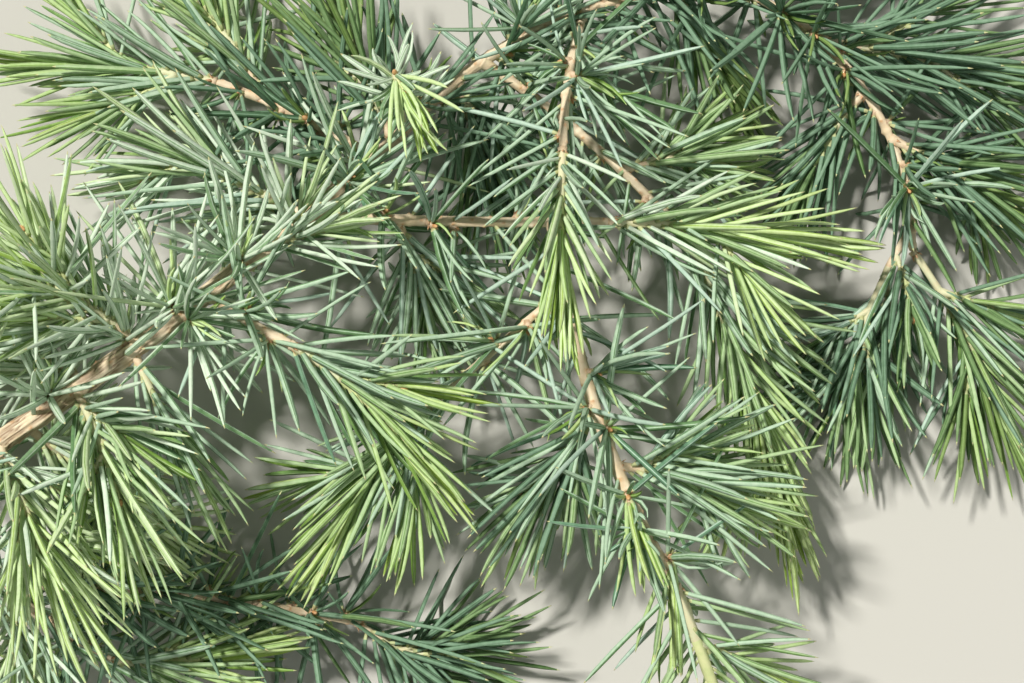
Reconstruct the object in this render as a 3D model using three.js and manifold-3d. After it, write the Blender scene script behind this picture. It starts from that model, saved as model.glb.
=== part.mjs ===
// A cut cedar branch lying on a level surface. Millimetres, +Z up, origin under its middle on that
// surface, +X from the cut end towards the tips. The woody limbs are tapering solids. Round them stand
// the sprays, which are leafy shoots, and the spurs, which are rosettes on short knobs.
import * as THREE from "three";
import { mergeVertices } from "three/addons/utils/BufferGeometryUtils.js";
import Module from "manifold-3d";

const wasm = await Module();
wasm.setup();

// Driving sizes
const CUT_END = new THREE.Vector3(-165, -47.5, 62); // middle of the flat cut, the branch's thick end
const JOINT_GAP = 0.3; // between a stem and the limb that carries it
const NEEDLE = { radius: 1.2, widest: 0.2, sunk: 0.5, clear: 0.5 }; // stouter than life
const STRAY = { turn: 18, splay: 8, length: 0.11 }; // how unevenly needles stand and grow

// The kinds of leafy stem. The foot of each is bare, up to a share of its length. After that a needle
// stands at every `spacing`. `needle` is a needle's length and `splay` its angle to the stem, first at
// the stem's foot and then at its tip.
const SPRAY = { radii: [1.3, 0.8], bare: 0.12, spacing: 3, needle: [46, 38], splay: [58, 20] };
const TWIG = { radii: [1, 0.7], bare: 0.3, spacing: 5, needle: [42, 34], splay: [58, 20] };
const SPUR = { radii: [1.5, 1.1], bare: 0.8, spacing: 0.22, needle: [36, 36], splay: [62, 38] };
const SPUR_GROWTH = { reach: 5, forward: 0.5, vigour: 1.8 };
const TWIG_GROWTH = {
  least: 30, // shorter sprays bear no twigs
  every: 16, // of the spray's length
  below: 0.8, // of a twig's share of the spray, bare below the first one
  above: 1.1, // and above the last one
  shares: [0.62, 0.34], // their lengths as shares of the spray's, at its foot and at its tip
  longest: 50, // the spray's length counts only up to here
  spread: [36, 56], // least and most angle to the spray, to its left and right in turn
  rise: [-20, 24], // least and most angle above it
  forward: 16, // they bend forward by this angle
  droop: 8, // and down by this
  uneven: 0.15,
  room: 4, // kept free round them, so that they can carry needles
};

// The woody limbs. Each leaves its parent at a share of the parent's length. `foot` and `tip` give its
// heading in plan and its pitch above the level there, in degrees, and it bends evenly between them.
const LIMBS = {
  main_limb: { foot: [31, 6], tip: [43, -16], length: 187, radii: [3.8, 1.9] },
  leader_limb: { on: "main_limb", at: 1, foot: [50, -6], tip: [-1, -4], length: 119, radii: [1.8, 1.4] },
  hanging_limb: { on: "leader_limb", at: 1, foot: [-20, -7], tip: [-90, -4], length: 106, radii: [1.3, 1] },
  across_bough: { on: "main_limb", at: 0.8, foot: [-3, -2], tip: [1, -2], length: 92, radii: [1.6, 1.2] },
  front_bough: { on: "across_bough", at: 0.82, foot: [-84, 7], tip: [-60, 7], length: 116, radii: [1.3, 1] },
  inner_bough: {
    on: "front_bough", at: 0.18, foot: [-140, -14], tip: [-138, -8], length: 50, radii: [1, 0.9],
  },
  drop_bough: { on: "leader_limb", at: 0.6, foot: [-108, 40], tip: [-91, 30], length: 56, radii: [1.3, 1] },
  far_bough: { on: "leader_limb", at: 0.3, foot: [-32, -8], tip: [-50, 0], length: 88, radii: [1.3, 1.1] },
  back_bough: { on: "main_limb", at: 0.95, foot: [147, -11], tip: [161, -11], length: 56, radii: [1.3, 1.1] },
  fan_bough: { on: "main_limb", at: 0.6, foot: [-38, 18], tip: [-24, 14], length: 31, radii: [1.4, 1.2] },
  low_bough: { on: "main_limb", at: 0.07, foot: [-72, -26], tip: [-30, -16], length: 80, radii: [1.6, 1.2] },
  floor_bough: { on: "low_bough", at: 0.5, foot: [-2, -18], tip: [-14, -12], length: 110, radii: [1.2, 0.9] },
};

// The sprays, which are leafy shoots: the same numbers, with the length of the leafy stem. A vigorous
// spray takes more of the space between it and its neighbours, and 1 is usual.
const SPRAYS = {
  spray_across_tip: { on: "across_bough", at: 1, foot: [-2, -3], tip: [-10, -6], length: 44, vigour: 1.7 },
  spray_front_tip: { on: "front_bough", at: 1, foot: [-67, -4], tip: [-71, -20], length: 45, vigour: 1.3 },
  spray_front_right: {
    on: "front_bough", at: 0.66, foot: [-4, -6], tip: [-20, -18], length: 32, vigour: 1.2,
  },
  spray_front_left: {
    on: "front_bough", at: 0.52, foot: [-134, -24], tip: [-120, -24], length: 32, vigour: 1.2,
  },
  spray_inner_tip: { on: "inner_bough", at: 1, foot: [-138, 0], tip: [-120, -8], length: 48, vigour: 1.2 },
  spray_drop_tip: { on: "drop_bough", at: 1, foot: [-94, 26], tip: [-86, 12], length: 36, vigour: 1.5 },
  spray_far_tip: { on: "far_bough", at: 1, foot: [-66, -2], tip: [-70, -10], length: 76, vigour: 1.3 },
  spray_far_side: { on: "far_bough", at: 0.62, foot: [18, -16], tip: [-12, -8], length: 36 },
  spray_fan_tip: { on: "fan_bough", at: 1, foot: [-30, 12], tip: [-52, -4], length: 44, vigour: 1.5 },
  spray_back_tip: { on: "back_bough", at: 1, foot: [166, -8], tip: [180, -4], length: 48, vigour: 1.3 },
  spray_back_high: { on: "back_bough", at: 0.72, foot: [112, -8], tip: [142, -14], length: 42 },
  spray_back_top: { on: "main_limb", at: 0.99, foot: [108, 12], tip: [120, -18], length: 44 },
  spray_low_tip: { on: "low_bough", at: 1, foot: [-10, -12], tip: [16, -2], length: 38 },
  spray_low_side: { on: "low_bough", at: 0.55, foot: [-98, -14], tip: [-78, -10], length: 30 },
  spray_left_high: { on: "main_limb", at: 0.46, foot: [130, 34], tip: [170, 34], length: 48, vigour: 1.2 },
  spray_left_low: { on: "main_limb", at: 0.36, foot: [152, -36], tip: [182, -24], length: 54 },
  spray_upper_left: { on: "main_limb", at: 0.8, foot: [152, -10], tip: [158, -10], length: 50, vigour: 1.2 },
  spray_under_left: { on: "main_limb", at: 0.16, foot: [128, -40], tip: [150, -10], length: 46 },
  spray_crotch: { on: "main_limb", at: 0.72, foot: [20, 36], tip: [6, 36], length: 27 },
  spray_fore_mid: { on: "main_limb", at: 0.34, foot: [-50, 58], tip: [-74, 0], length: 43 },
  spray_fore_left: { on: "main_limb", at: 0.19, foot: [-56, 48], tip: [-70, -8], length: 46 },
  spray_under_fork: { on: "main_limb", at: 0.45, foot: [-66, 14], tip: [-60, -22], length: 34 },
  spray_hanging_left: { on: "hanging_limb", at: 0.93, foot: [-122, -6], tip: [-96, -14], length: 54 },
  spray_hanging_tip: { on: "hanging_limb", at: 1, foot: [-54, 0], tip: [-68, -4], length: 56 },
  spray_right_mid: { on: "hanging_limb", at: 0.5, foot: [-132, -10], tip: [-112, -4], length: 36 },
  spray_right_top: { on: "hanging_limb", at: 0.3, foot: [-6, -12], tip: [-14, -4], length: 60 },
  spray_right_edge: { on: "hanging_limb", at: 0.66, foot: [-26, 10], tip: [-34, -6], length: 40 },
  spray_top_fan: { on: "leader_limb", at: 0.85, foot: [-66, -24], tip: [-50, -20], length: 34 },
  spray_top_end: { on: "leader_limb", at: 0.95, foot: [34, -10], tip: [14, -10], length: 34 },
  spray_top_shade: { on: "leader_limb", at: 0.22, foot: [-72, -34], tip: [-66, -20], length: 36 },
  spray_upright: { on: "leader_limb", at: 0.03, foot: [72, 72], tip: [72, 66], length: 38 },
  spray_floor_mid: { on: "floor_bough", at: 1, foot: [-34, -8], tip: [-42, 4], length: 42 },
  spray_floor_left: { on: "main_limb", at: 0.24, foot: [-46, -48], tip: [-58, -10], length: 56 },
  spray_under_across: { on: "across_bough", at: 0.3, foot: [-66, -38], tip: [-80, -18], length: 40 },
};

// The spurs, which are rosettes on short knobs: the roll is round the limb, with 0 straight up.
const SPURS = {
  spur_main_1: { on: "main_limb", at: 0.1, roll: 40 },
  spur_main_2: { on: "main_limb", at: 0.29, roll: -50 },
  spur_main_3: { on: "main_limb", at: 0.54, roll: 50 },
  spur_main_4: { on: "main_limb", at: 0.66, roll: -30 },
  spur_main_5: { on: "main_limb", at: 0.88, roll: 10 },
  spur_leader_1: { on: "leader_limb", at: 0.42, roll: -60 },
  spur_leader_2: { on: "leader_limb", at: 0.8, roll: -20 },
  spur_hanging_1: { on: "hanging_limb", at: 0.14, roll: 20 },
  spur_hanging_2: { on: "hanging_limb", at: 0.8, roll: 0 },
  spur_across_1: { on: "across_bough", at: 0.4, roll: 20 },
  spur_front_1: { on: "front_bough", at: 0.4, roll: -60 },
  spur_front_2: { on: "front_bough", at: 0.82, roll: 40 },
  spur_drop_1: { on: "drop_bough", at: 0.5, roll: -70 },
  spur_low_1: { on: "low_bough", at: 0.4, roll: 60 },
};

const GOLDEN_ANGLE = 137.5;
const GROWTH_STEPS = 12;
const NEARLY_UPRIGHT = 0.99; // the height of a direction that needs another square one
const LIMB = { sides: 7, step: 14 }; // sides of a limb's section, and how often its line bends
const STEM = { sides: 3, step: 20 };
const radians = THREE.MathUtils.degToRad;
const degrees = THREE.MathUtils.radToDeg;
const lerp = THREE.MathUtils.lerp;

// A seeded source of numbers from 0 to 1.
function numbers(seed) {
  let state = seed;
  return () => {
    state = (state + 0x6d2b79f5) | 0;
    let mixed = Math.imul(state ^ (state >>> 15), 1 | state);
    mixed = (mixed + Math.imul(mixed ^ (mixed >>> 7), 61 | mixed)) ^ mixed;
    return ((mixed ^ (mixed >>> 14)) >>> 0) / 4294967296;
  };
}

function aim(heading, pitch) {
  const level = Math.cos(radians(pitch));
  const x = Math.cos(radians(heading)) * level;
  const y = Math.sin(radians(heading)) * level;
  return new THREE.Vector3(x, y, Math.sin(radians(pitch)));
}

// Two directions square to `along`: `across` lies level, and `over` points up from it.
function squareTo(along) {
  const upright = Math.abs(along.z) > NEARLY_UPRIGHT;
  const side = upright ? new THREE.Vector3(1, 0, 0) : new THREE.Vector3(0, 0, 1);
  const across = new THREE.Vector3().crossVectors(along, side).normalize();
  return { across, over: new THREE.Vector3().crossVectors(across, along) };
}

// A stem grows `length` from its start. Its heading and pitch turn evenly from `foot` to `tip`, and it
// tapers from the first of its radii to the second. A leafy one has a kind.
class Stem {
  constructor(start, { foot, tip, length, radii }, kind) {
    Object.assign(this, { foot, tip, length, kind, radii: radii ?? kind.radii });
    this.points = [start.clone()];
    for (let step = 0; step < GROWTH_STEPS; step++) {
      const way = this.wayAt((step + 0.5) / GROWTH_STEPS);
      this.points.push(this.points[step].clone().addScaledVector(way, length / GROWTH_STEPS));
    }
    this.line = new THREE.CatmullRomCurve3(this.points);
  }

  anglesAt(t) {
    return [lerp(this.foot[0], this.tip[0], t), lerp(this.foot[1], this.tip[1], t)];
  }

  wayAt(t) {
    return aim(...this.anglesAt(t));
  }

  pointAt(t) {
    return this.line.getPoint(t);
  }

  distanceTo(point) {
    const nearest = new THREE.Vector3();
    let least = Infinity;
    for (let i = 1; i < this.points.length; i++) {
      const piece = new THREE.Line3(this.points[i - 1], this.points[i]);
      piece.closestPointToPoint(point, true, nearest);
      least = Math.min(least, nearest.distanceTo(point));
    }
    return least;
  }
}

function solidOf(geometry) {
  geometry.deleteAttribute("normal");
  geometry.deleteAttribute("uv");
  const merged = mergeVertices(geometry, 1e-3);
  return new wasm.Manifold(
    new wasm.Mesh({
      numProp: 3,
      vertProperties: new Float32Array(merged.attributes.position.array),
      triVerts: new Uint32Array(merged.index.array),
    }),
  );
}

function geometryOf(solid) {
  const mesh = solid.getMesh();
  const indexed = new THREE.BufferGeometry();
  indexed.setAttribute("position", new THREE.BufferAttribute(mesh.vertProperties, 3));
  indexed.setIndex(new THREE.BufferAttribute(mesh.triVerts, 1));
  const faceted = indexed.toNonIndexed();
  faceted.computeVertexNormals();
  return faceted;
}

// A tapering solid round a stem, from a cylinder bent along it. `extra` is added all over.
function stemSolid(stem, { sides, step }, extra = 0) {
  const steps = Math.max(2, Math.ceil(stem.length / step));
  const geometry = new THREE.CylinderGeometry(1, 1, 1, sides, steps);
  const position = geometry.attributes.position;
  for (let i = 0; i < position.count; i++) {
    const t = THREE.MathUtils.clamp(position.getY(i) + 0.5, 0, 1);
    const radius = lerp(...stem.radii, t) + extra;
    const { across, over } = squareTo(stem.wayAt(t));
    const vertex = stem.pointAt(t).addScaledVector(across, position.getX(i) * radius);
    vertex.addScaledVector(over, position.getZ(i) * radius);
    if (t === 1) vertex.addScaledVector(stem.wayAt(1), extra);
    position.setXYZ(i, ...vertex);
  }
  return solidOf(geometry);
}

// A needle is a three-sided spindle, widest near its foot, with a pointed root and tip.
function needleSolid(root, tip) {
  const geometry = new THREE.ConeGeometry(1, 1, 3);
  const position = geometry.attributes.position;
  const { across, over } = squareTo(tip.clone().sub(root).normalize());
  for (let i = 0; i < position.count; i++) {
    const out = new THREE.Vector2(position.getX(i), position.getZ(i));
    const onRing = out.length() > 0.5;
    const vertex = root.clone();
    if (position.getY(i) > 0) vertex.copy(tip);
    else if (onRing) vertex.lerp(tip, NEEDLE.widest);
    if (onRing) {
      vertex.addScaledVector(across, out.x * NEEDLE.radius).addScaledVector(over, out.y * NEEDLE.radius);
    }
    position.setXYZ(i, ...vertex);
  }
  return solidOf(geometry);
}

// Wood: each limb grows from its place on its parent.
const limbs = new Map();

function startOn(growth) {
  return growth.on ? limbs.get(growth.on).pointAt(growth.at) : CUT_END;
}

for (const [name, growth] of Object.entries(LIMBS)) {
  limbs.set(name, new Stem(startOn(growth), growth));
}

// Foliage: each mass holds its stems. The first is its own, and the rest are side twigs on that one.
const masses = [];

function addMass(name, on, stem, vigour = 1) {
  masses.push({ name, on, vigour, stems: [stem], random: numbers(masses.length + 1) });
}

for (const [name, growth] of Object.entries(SPRAYS)) {
  addMass(name, growth.on, new Stem(startOn(growth), growth, SPRAY), growth.vigour);
}

for (const [name, { on, at, roll }] of Object.entries(SPURS)) {
  const limb = limbs.get(on);
  const { across, over } = squareTo(limb.wayAt(at));
  const out = over.multiplyScalar(Math.cos(radians(roll)));
  out.addScaledVector(across, Math.sin(radians(roll)));
  out.addScaledVector(limb.wayAt(at), SPUR_GROWTH.forward).normalize();
  const way = [degrees(Math.atan2(out.y, out.x)), degrees(Math.asin(out.z))];
  const length = lerp(...limb.radii, at) + SPUR_GROWTH.reach;
  const knob = new Stem(limb.pointAt(at), { foot: way, tip: way, length }, SPUR);
  addMass(name, on, knob, SPUR_GROWTH.vigour);
}

const nearest = (mass, point) => Math.min(...mass.stems.map((stem) => stem.distanceTo(point)));

function clearOfWood(point, room) {
  return [...limbs.values()].every((limb) => limb.distanceTo(point) > limb.radii[0] + room);
}

// A mass keeps to the space nearer to its own stems than to any other mass's, by their vigour.
function inOwnSpace(mass, point, room) {
  const own = (nearest(mass, point) + room) / mass.vigour;
  return masses.every((other) => other === mass || (nearest(other, point) - room) / other.vigour > own);
}

// Side twigs leave a long spray left and right in turn, where they have room.
const TWIG_TESTS = [0.5, 0.75, 1];

function addTwigs(mass) {
  const [main] = mass.stems;
  if (main.kind !== SPRAY || main.length < TWIG_GROWTH.least) return;
  const { random } = mass;
  const { every, below, above, shares, longest, spread, rise, forward, droop, uneven, room } = TWIG_GROWTH;
  const count = Math.floor(main.length / every) - 1;
  for (let i = 0; i < count; i++) {
    const at = (i + below) / (count - 1 + below + above);
    const side = i % 2 === 0 ? 1 : -1;
    const [heading, pitch] = main.anglesAt(at);
    const foot = [heading + side * lerp(...spread, random()), pitch + lerp(...rise, random())];
    const tip = [foot[0] - side * forward, foot[1] - droop];
    const share = lerp(...shares, at) * lerp(1 - uneven, 1 + uneven, random());
    const length = share * Math.min(main.length, longest);
    const twig = new Stem(main.pointAt(at), { foot, tip, length }, TWIG);
    const places = TWIG_TESTS.map((t) => twig.pointAt(t));
    const free = places.every((place) => clearOfWood(place, room) && inOwnSpace(mass, place, room));
    if (free && places.at(-1).z > NEEDLE.radius) mass.stems.push(twig);
  }
}

masses.forEach(addTwigs);

// A needle that would leave its mass's space, or come near wood, closes up or shortens, and is left
// out if that is not enough.
const NEEDLE_TRIES = [
  { length: 1, splay: 1 },
  { length: 1, splay: 0.55 },
  { length: 0.75, splay: 0.8 },
  { length: 0.6, splay: 0.5 },
];
const NEEDLE_TESTS = [0.1, 0.25, 0.4, 0.55, 0.7, 0.85, 1];

function hasRoom(mass, root, tip) {
  if (root.z < 2 * NEEDLE.radius) return false;
  return NEEDLE_TESTS.every((t) => {
    const place = root.clone().lerp(tip, t);
    const room = NEEDLE.radius * (1 - t) + NEEDLE.clear;
    return clearOfWood(place, room) && inOwnSpace(mass, place, room);
  });
}

// Needles spiral up a stem, standing out at its foot and closing up like a brush at its tip. One that
// would go through the surface under the branch has its tip on that surface.
function needlesOn(mass, stem) {
  const { random } = mass;
  const { bare, spacing, needle, splay } = stem.kind;
  const count = Math.round((stem.length * (1 - bare)) / spacing);
  const solids = [];
  for (let i = 0; i < count; i++) {
    const t = lerp(bare, 1, (i + 0.5) / count);
    const turn = radians(i * GOLDEN_ANGLE + lerp(-STRAY.turn, STRAY.turn, random()));
    const angle = lerp(...splay, t) + lerp(-STRAY.splay, STRAY.splay, random());
    const length = lerp(...needle, t) * lerp(1 - STRAY.length, 1 + STRAY.length, random());
    const { across, over } = squareTo(stem.wayAt(t));
    const out = across.multiplyScalar(Math.cos(turn)).addScaledVector(over, Math.sin(turn));
    for (const share of NEEDLE_TRIES) {
      const open = radians(angle * share.splay);
      const along = stem.wayAt(t).multiplyScalar(Math.cos(open)).addScaledVector(out, Math.sin(open));
      const root = stem.pointAt(t).addScaledVector(along, -NEEDLE.sunk);
      const tip = root.clone().addScaledVector(along, length * share.length);
      tip.z = Math.max(tip.z, 0);
      if (!hasRoom(mass, root, tip)) continue;
      solids.push(needleSolid(root, tip));
      break;
    }
  }
  return solids;
}

function massSolid(mass) {
  const solids = mass.stems.flatMap((stem) => [stemSolid(stem, STEM), ...needlesOn(mass, stem)]);
  return wasm.Manifold.union(solids);
}

// Cuts a piece clear of the limb that carries it, and keeps the whole body that this leaves.
function seatOn(carrier, solid) {
  const bodies = solid.subtract(stemSolid(limbs.get(carrier), LIMB, JOINT_GAP)).decompose();
  return bodies.reduce((most, body) => (body.volume() > most.volume() ? body : most));
}

// Finishes
const bark = new THREE.MeshStandardMaterial({ color: 0xc8a888, roughness: 0.85, metalness: 0 });
const foliage = new THREE.MeshStandardMaterial({ color: 0x7f9f86, roughness: 0.6, metalness: 0 });
const newFoliage = new THREE.MeshStandardMaterial({ color: 0xa9c46c, roughness: 0.6, metalness: 0 });
const isYoung = (name) => name.endsWith("_tip") || name.endsWith("_fan");

const branch = new THREE.Group();

function addNode(name, solid, material) {
  const mesh = new THREE.Mesh(geometryOf(solid), material);
  mesh.name = name;
  branch.add(mesh);
}

for (const [name, limb] of limbs) {
  const carrier = LIMBS[name].on;
  const solid = stemSolid(limb, LIMB);
  addNode(name, carrier ? seatOn(carrier, solid) : solid, bark);
}
for (const mass of masses) {
  addNode(mass.name, seatOn(mass.on, massSolid(mass)), isYoung(mass.name) ? newFoliage : foliage);
}

export default branch;
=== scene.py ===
# A cut cedar branch lying on a level surface, +Z up. Places and sizes in this script are in
# millimetres, and each mesh is turned into metres as it is made.
import math

import bpy
import numpy as np
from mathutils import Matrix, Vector, noise


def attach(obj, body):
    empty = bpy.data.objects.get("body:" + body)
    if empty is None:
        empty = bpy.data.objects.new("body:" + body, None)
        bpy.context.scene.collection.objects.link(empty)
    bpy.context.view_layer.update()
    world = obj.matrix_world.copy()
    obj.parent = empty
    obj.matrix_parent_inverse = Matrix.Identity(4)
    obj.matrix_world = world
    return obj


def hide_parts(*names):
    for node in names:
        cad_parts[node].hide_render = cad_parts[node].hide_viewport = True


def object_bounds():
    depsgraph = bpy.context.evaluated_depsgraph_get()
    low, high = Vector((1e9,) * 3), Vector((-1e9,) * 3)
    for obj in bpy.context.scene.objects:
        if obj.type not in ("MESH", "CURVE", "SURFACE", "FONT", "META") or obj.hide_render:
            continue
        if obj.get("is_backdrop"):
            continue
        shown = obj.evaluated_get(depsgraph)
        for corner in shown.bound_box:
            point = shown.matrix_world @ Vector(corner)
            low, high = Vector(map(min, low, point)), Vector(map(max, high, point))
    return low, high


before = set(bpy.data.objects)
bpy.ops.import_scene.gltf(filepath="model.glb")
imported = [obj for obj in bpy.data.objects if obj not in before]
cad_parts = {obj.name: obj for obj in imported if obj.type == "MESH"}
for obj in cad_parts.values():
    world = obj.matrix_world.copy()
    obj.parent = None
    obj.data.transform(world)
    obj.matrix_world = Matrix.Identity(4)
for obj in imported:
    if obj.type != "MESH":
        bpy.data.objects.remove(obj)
cad_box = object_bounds()


# Camera: it looks straight down at the lying branch, as the photograph does, from the same
# distance and with the same part of the branch in its picture. Its top edge is the +Y side.
MM = 0.001
CAMERA_PLACE = (18, 1.5, 785)
camera = bpy.data.objects.new("camera", bpy.data.cameras.new("camera"))
camera.data.lens = 85
camera.data.sensor_width = 36
camera.data.clip_start = 0.05
camera.data.clip_end = 50
camera.location = [place * MM for place in CAMERA_PLACE]
bpy.context.scene.collection.objects.link(camera)
bpy.context.scene.camera = camera


# Woody limbs: three or four years old at the cut and one year old at the thin ends, so their bark
# goes from ridged and flaking brown to smooth fawn. Each one grows out of its parent, and its
# skin is one closed mesh. Old leaf cushions run down it as long ridges, each ending in a small peg.
CUT_END = (-165, -47.5, 62)
GROWTH_STEPS = 12
GOLDEN_ANGLE = math.radians(137.5)
NEARLY_UPRIGHT = 0.99

# Each limb's parent and its place there, heading and pitch at its foot and at its tip, length, radii.
LIMBS = {
    "main_limb": (None, 0, (31, 6), (43, -16), 187, (3.8, 1.9)),
    "leader_limb": ("main_limb", 1, (50, -6), (-1, -4), 119, (1.8, 1.4)),
    "hanging_limb": ("leader_limb", 1, (-20, -7), (-90, -4), 106, (1.3, 1)),
    "across_bough": ("main_limb", 0.8, (-3, -2), (1, -2), 92, (1.6, 1.2)),
    "front_bough": ("across_bough", 0.82, (-84, 7), (-60, 7), 116, (1.3, 1)),
    "inner_bough": ("front_bough", 0.18, (-140, -14), (-138, -8), 50, (1, 0.9)),
    "drop_bough": ("leader_limb", 0.6, (-108, 40), (-91, 30), 56, (1.3, 1)),
    "far_bough": ("leader_limb", 0.3, (-32, -8), (-50, 0), 88, (1.3, 1.1)),
    "back_bough": ("main_limb", 0.95, (147, -11), (161, -11), 56, (1.3, 1.1)),
    "fan_bough": ("main_limb", 0.6, (-38, 18), (-24, 14), 31, (1.4, 1.2)),
    "low_bough": ("main_limb", 0.07, (-72, -26), (-30, -16), 80, (1.6, 1.2)),
    "floor_bough": ("low_bough", 0.5, (-2, -18), (-14, -12), 110, (1.2, 0.9)),
}

# The ridges and their pegs, and the plates and cracks that old bark has besides.
CUSHION = {"apart": 1.9, "long": 9, "wide": 0.42, "high": 0.24, "peg": 0.4, "peg_long": 0.5}
PLATES = {"deep": 0.42, "rough": 0.5, "worn": 0.15, "around": 1.15, "along": 0.11, "crack": 0.1}
# The radius up to which bark is young, and how much thicker a limb is when its bark is old.
YOUNG_BARK = 1.2
TO_OLD_BARK = 2.2
# Ring scars, left round a limb by the bud scales of past years.
SCARS = {"first": 9, "apart": 37, "high": 0.34, "long": 0.8}
# The bark's own thickness, and that of a limb which is stouter than in the solid model.
BARK_THICK = 0.15
OWN_BARK_THICK = {"front_bough": 0.75}
# How light the bark is between its ridges, and how much lighter for each millimetre of height.
BARK_SHADE = (0.78, 1.9)
# How far a stem swells where it leaves its parent's side, or at the scar of last year's end bud.
COLLARS = {"side": (0.5, 3), "end": (0.16, 0.9)}
LIMB_MESH = {"ring_apart": 0.6, "side_wide": 0.42, "least_sides": 18, "end": 0.75}
# How far one limb's pattern of ridges is turned from the last one's, and its plates moved.
NEXT_PATTERN = 1.3
NEXT_PLATES = 7
CUT_RINGS = (0.03, 0.14, 0.3, 0.34, 0.5, 0.54, 0.7, 0.74, 0.86, 0.9, 0.97)
CUT_RING = {"deep": 0.12, "dark": 0.8}


def unit(vectors):
    return vectors / np.linalg.norm(vectors, axis=-1, keepdims=True)


def aim(angles):
    """The unit vectors of headings and pitches, in degrees."""
    heading, pitch = np.moveaxis(np.radians(angles), -1, 0)
    level = np.cos(pitch)
    return np.stack([np.cos(heading) * level, np.sin(heading) * level, np.sin(pitch)], -1)


def square_to(along):
    """Two directions square to each of `along`: one lies level, and the other points up from it."""
    side = np.where(np.abs(along[..., 2:]) > NEARLY_UPRIGHT, (1.0, 0, 0), (0, 0, 1.0))
    across = unit(np.cross(along, side))
    return across, np.cross(across, along)


def spokes(along, turn):
    """Directions square to each of `along`, at the angles `turn` round it."""
    across, over = square_to(along)
    return across * np.cos(turn)[..., None] + over * np.sin(turn)[..., None]


def angles_round(sides):
    return np.linspace(0, 2 * np.pi, sides, endpoint=False)


class Stem:
    """A stem whose heading and pitch turn evenly from foot to tip, and which tapers evenly."""

    def __init__(self, start, foot, tip, length, radii, collar="side"):
        self.angles = np.array([foot, tip], float)
        self.length = length
        self.radii = radii
        self.collar = collar
        middles = (np.arange(GROWTH_STEPS) + 0.5) / GROWTH_STEPS
        steps = np.cumsum(self.way_at(middles), 0) * length / GROWTH_STEPS
        self.points = start + np.vstack([np.zeros(3), steps])

    def angles_at(self, t):
        t = np.asarray(t, float)[..., None]
        return self.angles[0] * (1 - t) + self.angles[1] * t

    def way_at(self, t):
        return aim(self.angles_at(t))

    def radius_at(self, t):
        return self.radii[0] + (self.radii[1] - self.radii[0]) * np.clip(t, 0, 1)

    def swell_at(self, s):
        """How many times wider the stem is at the distance `s` for its collar."""
        if not self.collar:
            return np.ones_like(s)
        swell, long = COLLARS[self.collar]
        return 1 + swell * np.exp(-((s / long) ** 2))

    def point_at(self, t):
        """A smooth curve through its points."""
        before = 2 * self.points[0] - self.points[1]
        beyond = 2 * self.points[-1] - self.points[-2]
        points = np.vstack([before, self.points, beyond])
        place = np.clip(np.asarray(t, float), 0, 1) * GROWTH_STEPS
        step = np.minimum(place.astype(int), GROWTH_STEPS - 1)
        u = (place - step)[..., None]
        a, b, c, d = (points[step + k] for k in range(4))
        return b + 0.5 * u * (c - a + u * (2 * a - 5 * b + 4 * c - d + u * (3 * (b - c) + d - a)))

    def rings(self, t, turn, out):
        """Rings of points round the places `t`, at the angles `turn` and the distances `out`."""
        return self.point_at(t)[:, None] + spokes(self.way_at(t)[:, None], turn) * out[..., None]


def skin(rings):
    """The points and faces of closed tubes. `rings` holds tubes, their rings and each ring's points.

    The faces come as quads by tube, ring and side, and as the end faces at the feet and the tips."""
    tubes, count, sides, _ = rings.shape
    index = np.arange(tubes * count * sides).reshape(tubes, count, sides)
    here = index[:, :-1]
    after = index[:, 1:]
    quads = np.stack([here, after, np.roll(after, -1, 2), np.roll(here, -1, 2)], -1)
    return rings.reshape(-1, 3), quads, index[:, 0], index[:, -1, ::-1]


def add_piece(name, points, faces, kinds, finishes):
    """Makes a mesh object from arrays of faces, each with an array of its material's numbers."""
    mesh = bpy.data.meshes.new(name)
    mesh.vertices.add(len(points))
    mesh.vertices.foreach_set("co", (points * MM).astype(np.float32).ravel())
    sizes = np.concatenate([np.full(len(rows), rows.shape[1]) for rows in faces])
    corners = np.concatenate([rows.ravel() for rows in faces])
    mesh.loops.add(len(corners))
    mesh.loops.foreach_set("vertex_index", corners.astype(np.int32))
    mesh.polygons.add(len(sizes))
    starts = np.concatenate([[0], np.cumsum(sizes)[:-1]])
    mesh.polygons.foreach_set("loop_start", starts.astype(np.int32))
    mesh.polygons.foreach_set("material_index", np.concatenate(kinds).astype(np.int32))
    for finish in finishes:
        mesh.materials.append(finish)
    mesh.update(calc_edges=True)
    mesh.validate()
    piece = bpy.data.objects.new(name, mesh)
    bpy.context.scene.collection.objects.link(piece)
    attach(piece, "root")
    return piece


def tubes_piece(name, rings, kinds, finishes, foot_kind=0, tip_kind=0):
    """A piece made of tubes. `kinds` has a material's number for each quad, by tube, ring and side."""
    points, quads, feet, tips = skin(rings)
    faces = [quads.reshape(-1, 4), feet, tips]
    shape = quads.shape[:-1]
    ends = [np.full(len(feet), foot_kind), np.full(len(tips), tip_kind)]
    return add_piece(name, points, faces, [np.broadcast_to(kinds, shape).ravel(), *ends], finishes)


def tint(code):
    """A shader's colour from the usual six-digit code."""
    parts = [(code >> shift & 255) / 255 for shift in (16, 8, 0)]
    return [p / 12.92 if p <= 0.04045 else ((p + 0.055) / 1.055) ** 2.4 for p in parts] + [1]


def new_group(name, inputs, outputs):
    """A shader node group with sockets of the given kinds, and its first and last nodes."""
    group = bpy.data.node_groups.new(name, "ShaderNodeTree")
    for side, sockets in (("INPUT", inputs), ("OUTPUT", outputs)):
        for socket, kind in sockets.items():
            group.interface.new_socket(name=socket, in_out=side, socket_type=f"NodeSocket{kind}")
    return group, group.nodes.new("NodeGroupInput"), group.nodes.new("NodeGroupOutput")


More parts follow.
